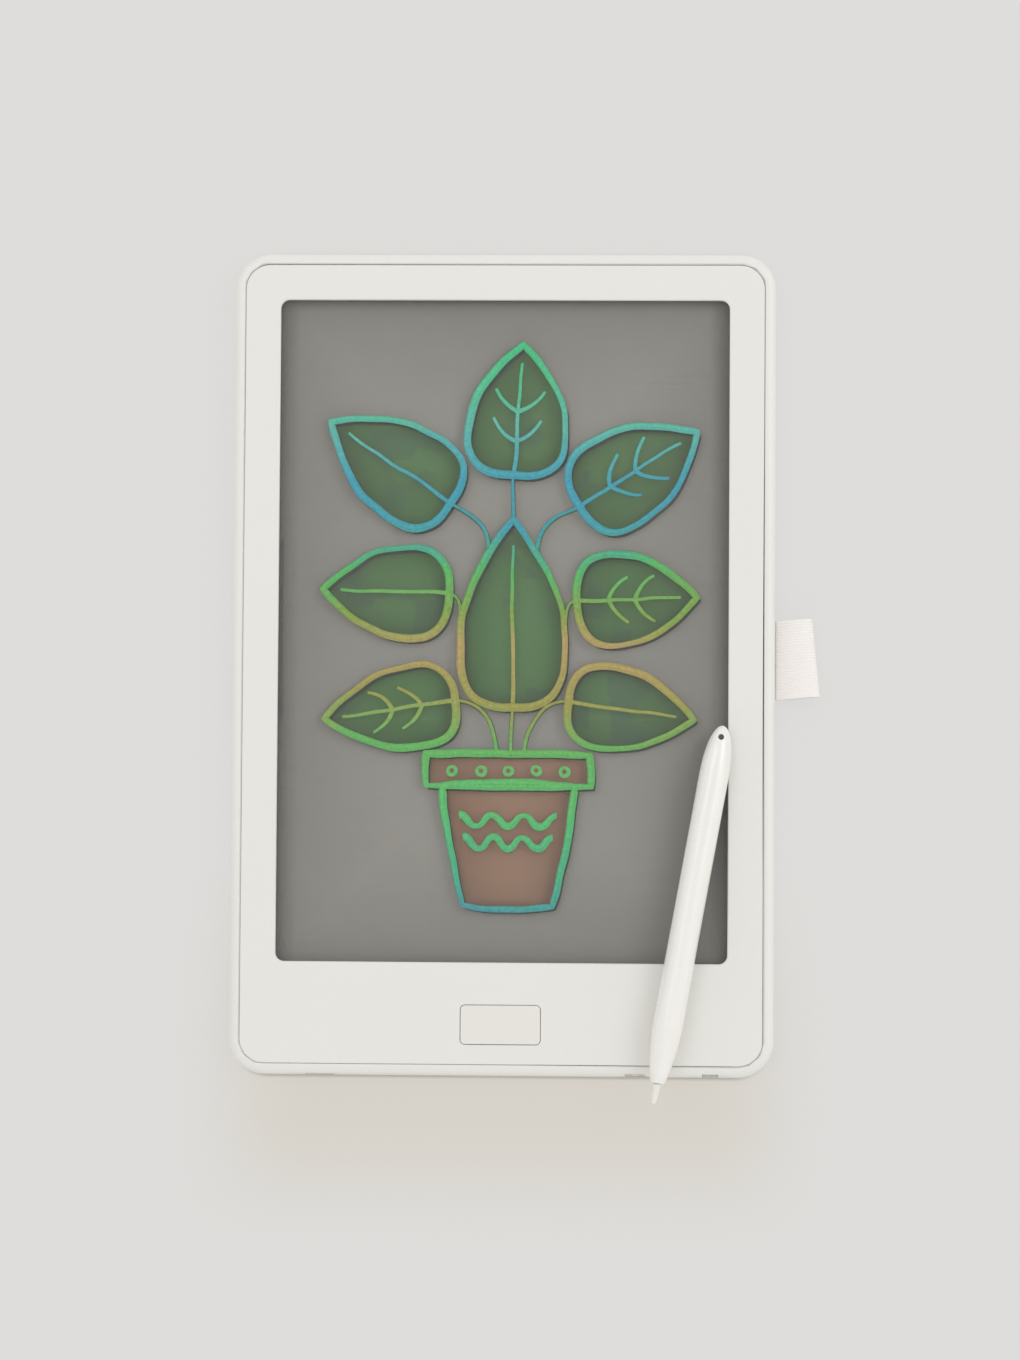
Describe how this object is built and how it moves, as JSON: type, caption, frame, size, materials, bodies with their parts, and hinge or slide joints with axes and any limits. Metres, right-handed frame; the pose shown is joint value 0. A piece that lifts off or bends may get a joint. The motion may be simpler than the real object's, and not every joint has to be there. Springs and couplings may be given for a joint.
{
  "type": "lcd writing tablet",
  "caption": "Flat portrait writing tablet with an LCD film in a rounded white frame, a picture card, an erase button, a lock slider, a ribbon pen loop and a stylus.",
  "frame": {"origin": "centre of the flat back face, which the tablet lies on", "axes": "+Z out of the screen, +Y towards the tablet's top, +X to the right as the screen is read"},
  "size_m": [0.1869, 0.2691, 0.0185],
  "materials": {
    "white_plastic": "satin moulded",
    "lcd_film": "smooth film",
    "amber_film": "smooth film",
    "black_tape": "foam",
    "clear_plastic": "polished clear",
    "printed_card": "printed",
    "green_board": "solder mask",
    "black_plastic": "moulded",
    "warm_white_plastic": "satin moulded",
    "tan_ceramic": "fired",
    "bright_steel": "plated",
    "cream_ribbon": "ribbed elastic ribbon"
  },
  "bodies": {
    "tablet": {"rear_shell": "white_plastic", "front_bezel": "white_plastic", "board_screw_1": "bright_steel", "board_screw_2": "bright_steel", "chip_capacitor_1": "tan_ceramic", "chip_capacitor_2": "tan_ceramic", "chip_capacitor_3": "tan_ceramic", "circuit_board": "green_board", "coin_cell": "bright_steel", "control_chip": "black_plastic", "door_screw": "bright_steel", "battery_door": "white_plastic", "negative_contact": "bright_steel", "positive_contact": "bright_steel", "pen_loop": "cream_ribbon", "shell_screw_1": "bright_steel", "shell_screw_2": "bright_steel", "shell_screw_3": "bright_steel", "shell_screw_4": "bright_steel", "slide_switch_body": "bright_steel", "tact_switch_body": "black_plastic", "tail_connector": "warm_white_plastic", "lcd_film": "lcd_film", "lcd_tail": "amber_film", "tape_frame": "black_tape", "support_plate": "clear_plastic"},
    "button": {"erase_button": "white_plastic"},
    "plunger": {"tact_plunger": "bright_steel"},
    "slider": {"lock_slider": "warm_white_plastic"},
    "card": {"picture_card": "printed_card"},
    "stylus": {"stylus_barrel": "warm_white_plastic", "stylus_nib": "warm_white_plastic"}
  },
  "joints": [
    {"name": "erase_press", "type": "slide", "parent": "tablet", "child": "button", "axis": [0, 0, -1], "range_m": [0, 0.0005], "stiffness_N_per_m": 800},
    {"name": "plunger_press", "type": "slide", "parent": "tablet", "child": "plunger", "axis": [0, 0, -1], "range_m": [0, 0.0005], "stiffness_N_per_m": 100},
    {"name": "lock_slide", "type": "slide", "parent": "tablet", "child": "slider", "axis": [1, 0, 0], "range_m": [-0.001, 0.001]},
    {"name": "card_slide", "type": "slide", "parent": "tablet", "child": "card", "axis": [-1, 0, 0], "range_m": [0, 0.162]},
    {"name": "stylus_lift", "type": "slide", "parent": "tablet", "child": "stylus", "axis": [0, 0, 1], "range_m": [0, 0.12]}
  ],
  "couplings": [
    {"joint": "plunger_press", "follows": "erase_press", "ratio": 1}
  ]
}
